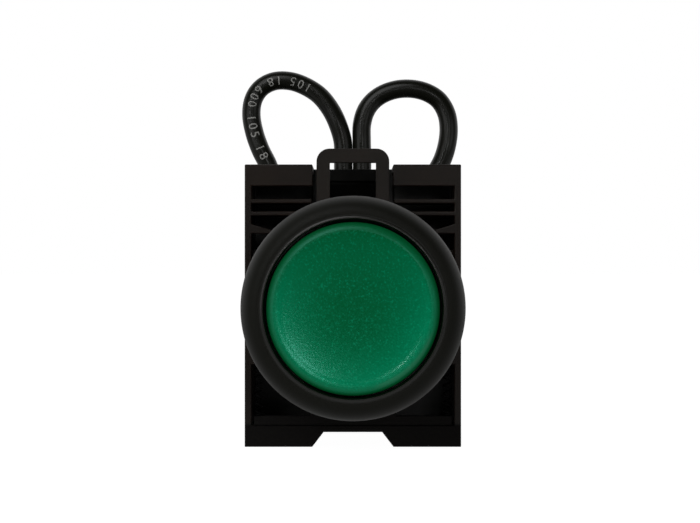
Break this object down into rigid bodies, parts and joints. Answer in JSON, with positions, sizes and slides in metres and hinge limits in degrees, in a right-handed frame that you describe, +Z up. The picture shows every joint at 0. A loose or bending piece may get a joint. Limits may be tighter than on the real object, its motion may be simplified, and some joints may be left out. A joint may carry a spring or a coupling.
{
  "type": "illuminated industrial push button",
  "caption": "Green flush push button with a round black bezel for a control panel, on a holder with clip-on contact and lamp modules and short jumper wires.",
  "frame": {"origin": "centre of the barrel on the plane of the panel's front, where the gasket meets it", "axes": "+Y from the cap through the panel to the terminals, +Z up towards the release loop, +X to the right seen from the front"},
  "size_m": [0.0326, 0.0596, 0.0544],
  "materials": {
    "head_black": "fine grained, moulded",
    "rubber_black": "matte",
    "nut_black": "moulded",
    "lens_green": "translucent green with a fine sparkling grain, frosted",
    "diffuser_white": "milky",
    "carrier_grey": "moulded",
    "spring_steel": "drawn wire",
    "spring_black": "black oxide wire",
    "holder_black": "warm black, moulded",
    "module_black": "moulded",
    "plunger_ivory": "moulded",
    "contact_brass": "stamped",
    "contact_silver": "satin silver",
    "screw_zinc": "zinc plated",
    "clamp_zinc": "yellow zinc plated",
    "led_clear": "clear epoxy",
    "board_green": "solder mask",
    "component_black": "epoxy",
    "component_beige": "lacquered",
    "component_red": "dipped",
    "wire_black": "satin wire insulation",
    "copper": "bare stranded copper"
  },
  "bodies": {
    "root": {"bezel": "head_black", "gasket": "rubber_black", "barrel": "head_black", "ring_nut": "nut_black", "button_spring": "spring_steel", "holder": "holder_black", "latch_springs": "spring_black", "no_housing": "module_black", "no_cover": "module_black", "no_plunger_spring": "spring_steel", "no_terminals": "contact_brass", "no_fixed_contacts": "contact_silver", "no_screws": "screw_zinc", "no_clamps": "clamp_zinc", "lamp_housing": "module_black", "lamp_cover": "module_black", "lamp_led": "led_clear", "lamp_board": "board_green", "lamp_rectifier": "component_black", "lamp_resistor": "component_beige", "lamp_capacitor": "component_red", "lamp_terminals": "contact_brass", "lamp_screws": "screw_zinc", "lamp_clamps": "clamp_zinc", "nc_housing": "module_black", "nc_cover": "module_black", "nc_plunger_spring": "spring_steel", "nc_terminals": "contact_brass", "nc_fixed_contacts": "contact_silver", "nc_screws": "screw_zinc", "nc_clamps": "clamp_zinc", "jumper_left": "wire_black", "jumper_left_ends": "copper", "jumper_right": "wire_black", "jumper_right_ends": "copper"},
    "button": {"lens_cap": "lens_green", "diffuser": "diffuser_white", "cap_carrier": "carrier_grey", "pusher_bar": "carrier_grey"},
    "no_pin": {"no_plunger": "plunger_ivory", "no_bridge_spring": "spring_steel"},
    "no_bar": {"no_bridge": "contact_brass", "no_bridge_contacts": "contact_silver"},
    "nc_pin": {"nc_plunger": "plunger_ivory", "nc_bridge_spring": "spring_steel"},
    "nc_bar": {"nc_bridge": "contact_brass", "nc_bridge_contacts": "contact_silver"},
    "latch": {"latch": "holder_black"}
  },
  "joints": [
    {"name": "button_press", "type": "slide", "parent": "root", "child": "button", "axis": [0, 1, 0], "range_m": [0, 0.005], "stiffness_N_per_m": 600, "springref_m": -0.004, "deforming": ["button_spring"]},
    {"name": "no_pin_slide", "type": "slide", "parent": "root", "child": "no_pin", "axis": [0, 1, 0], "range_m": [0, 0.005], "deforming": ["no_plunger_spring"]},
    {"name": "nc_pin_slide", "type": "slide", "parent": "root", "child": "nc_pin", "axis": [0, 1, 0], "range_m": [0, 0.005], "deforming": ["nc_plunger_spring"]},
    {"name": "no_bar_slide", "type": "slide", "parent": "root", "child": "no_bar", "axis": [0, 1, 0], "range_m": [0, 0.00235], "deforming": ["no_bridge_spring"]},
    {"name": "nc_bar_slide", "type": "slide", "parent": "root", "child": "nc_bar", "axis": [0, 1, 0], "range_m": [0, 0.00405], "deforming": ["nc_bridge_spring"]},
    {"name": "latch_pull", "type": "slide", "parent": "root", "child": "latch", "axis": [0, 0, 1], "range_m": [0, 0.0018], "stiffness_N_per_m": 800, "springref_m": -0.002, "deforming": ["latch_springs"]}
  ],
  "couplings": [
    {"joint": "no_pin_slide", "follows": "button_press", "ratio": 1},
    {"joint": "nc_pin_slide", "follows": "button_press", "ratio": 1},
    {"joint": "no_bar_slide", "follows": "button_press", "ratio": 0.47},
    {"joint": "nc_bar_slide", "follows": "button_press", "ratio": 0.81}
  ]
}
